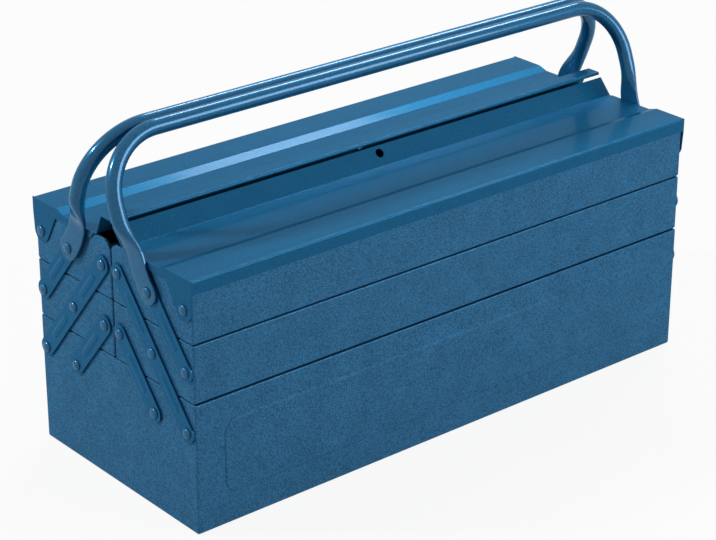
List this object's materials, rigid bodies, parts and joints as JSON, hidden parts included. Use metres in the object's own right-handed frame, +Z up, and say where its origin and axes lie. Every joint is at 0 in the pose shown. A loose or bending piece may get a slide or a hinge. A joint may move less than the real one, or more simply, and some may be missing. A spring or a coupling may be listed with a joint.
{
  "type": "cantilever tool box",
  "caption": "Portable steel tool box whose trays and lids spread sideways on riveted straps as its paired tube handles are pulled apart.",
  "frame": {"origin": "on the ground, under the middle of the closed box", "axes": "+X along the box to its right end, -Y to the front (the side with the padlock hole in its sloping lip), +Z up"},
  "size_m": [0.5616, 0.2154, 0.3072],
  "materials": {
    "box_paint": "mid-blue hammertone enamel on folded sheet steel, semi-gloss",
    "lid_paint": "mid-blue hammertone enamel on the folded lids, semi-gloss",
    "strap_paint": "mid-blue hammertone enamel on the pressed straps",
    "handle_paint": "mid-blue enamel on bent tube, glossier",
    "rivet_paint": "mid-blue enamel over domed steel rivets"
  },
  "bodies": {
    "base": {"base_box": "box_paint", "base_rivets": "rivet_paint"},
    "front_long_straps": {"long_strap_front_left": "strap_paint", "long_strap_front_right": "strap_paint"},
    "front_lower_straps": {"lower_strap_front_left": "strap_paint", "lower_strap_front_right": "strap_paint"},
    "front_middle_tray": {"middle_tray_front": "box_paint", "middle_tray_rivets_front": "rivet_paint"},
    "front_top_tray": {"top_tray_front": "box_paint", "top_tray_rivets_front": "rivet_paint", "handle_rivets_front": "rivet_paint", "lid_rivets_front": "rivet_paint"},
    "front_handle": {"handle_front": "handle_paint", "handle_strap_front_left": "strap_paint", "handle_strap_front_right": "strap_paint"},
    "front_lid": {"lid_front": "lid_paint"},
    "rear_long_straps": {"long_strap_rear_left": "strap_paint", "long_strap_rear_right": "strap_paint"},
    "rear_lower_straps": {"lower_strap_rear_left": "strap_paint", "lower_strap_rear_right": "strap_paint"},
    "rear_middle_tray": {"middle_tray_rear": "box_paint", "middle_tray_rivets_rear": "rivet_paint"},
    "rear_top_tray": {"top_tray_rear": "box_paint", "top_tray_rivets_rear": "rivet_paint", "handle_rivets_rear": "rivet_paint", "lid_rivets_rear": "rivet_paint"},
    "rear_handle": {"handle_rear": "handle_paint", "handle_strap_rear_left": "strap_paint", "handle_strap_rear_right": "strap_paint"},
    "rear_lid": {"lid_rear": "lid_paint"}
  },
  "joints": [
    {"name": "front_spread", "type": "hinge", "parent": "base", "child": "front_long_straps", "pos_m": [0, -0.0973, 0.087], "axis": [1, 0, 0], "range_deg": [0, 79.59]},
    {"name": "front_lower_strap_swing", "type": "hinge", "parent": "base", "child": "front_lower_straps", "pos_m": [0, -0.0539, 0.087], "axis": [1, 0, 0], "range_deg": [0, 79.59]},
    {"name": "front_middle_tray_level", "type": "hinge", "parent": "front_long_straps", "child": "front_middle_tray", "pos_m": [0, -0.0539, 0.1391], "axis": [1, 0, 0], "range_deg": [-79.59, 0]},
    {"name": "front_top_tray_level", "type": "hinge", "parent": "front_long_straps", "child": "front_top_tray", "pos_m": [0, -0.0105, 0.1912], "axis": [1, 0, 0], "range_deg": [-79.59, 0]},
    {"name": "front_handle_swing", "type": "hinge", "parent": "front_top_tray", "child": "front_handle", "pos_m": [0, -0.0539, 0.1912], "axis": [1, 0, 0], "range_deg": [0, 79.59]},
    {"name": "front_lid_hinge", "type": "hinge", "parent": "front_top_tray", "child": "front_lid", "pos_m": [0, -0.0965, 0.1912], "axis": [1, 0, 0], "range_deg": [0, 85]},
    {"name": "rear_spread", "type": "hinge", "parent": "base", "child": "rear_long_straps", "pos_m": [0, 0.0973, 0.087], "axis": [-1, 0, 0], "range_deg": [0, 79.59]},
    {"name": "rear_lower_strap_swing", "type": "hinge", "parent": "base", "child": "rear_lower_straps", "pos_m": [0, 0.0539, 0.087], "axis": [-1, 0, 0], "range_deg": [0, 79.59]},
    {"name": "rear_middle_tray_level", "type": "hinge", "parent": "rear_long_straps", "child": "rear_middle_tray", "pos_m": [0, 0.0539, 0.1391], "axis": [-1, 0, 0], "range_deg": [-79.59, 0]},
    {"name": "rear_top_tray_level", "type": "hinge", "parent": "rear_long_straps", "child": "rear_top_tray", "pos_m": [0, 0.0105, 0.1912], "axis": [-1, 0, 0], "range_deg": [-79.59, 0]},
    {"name": "rear_handle_swing", "type": "hinge", "parent": "rear_top_tray", "child": "rear_handle", "pos_m": [0, 0.0539, 0.1912], "axis": [-1, 0, 0], "range_deg": [0, 79.59]},
    {"name": "rear_lid_hinge", "type": "hinge", "parent": "rear_top_tray", "child": "rear_lid", "pos_m": [0, 0.0965, 0.1912], "axis": [-1, 0, 0], "range_deg": [0, 85]}
  ],
  "couplings": [
    {"joint": "front_lower_strap_swing", "follows": "front_spread", "ratio": 1},
    {"joint": "front_middle_tray_level", "follows": "front_spread", "ratio": -1},
    {"joint": "front_top_tray_level", "follows": "front_spread", "ratio": -1},
    {"joint": "front_handle_swing", "follows": "front_spread", "ratio": 1},
    {"joint": "rear_lower_strap_swing", "follows": "rear_spread", "ratio": 1},
    {"joint": "rear_middle_tray_level", "follows": "rear_spread", "ratio": -1},
    {"joint": "rear_top_tray_level", "follows": "rear_spread", "ratio": -1},
    {"joint": "rear_handle_swing", "follows": "rear_spread", "ratio": 1}
  ]
}
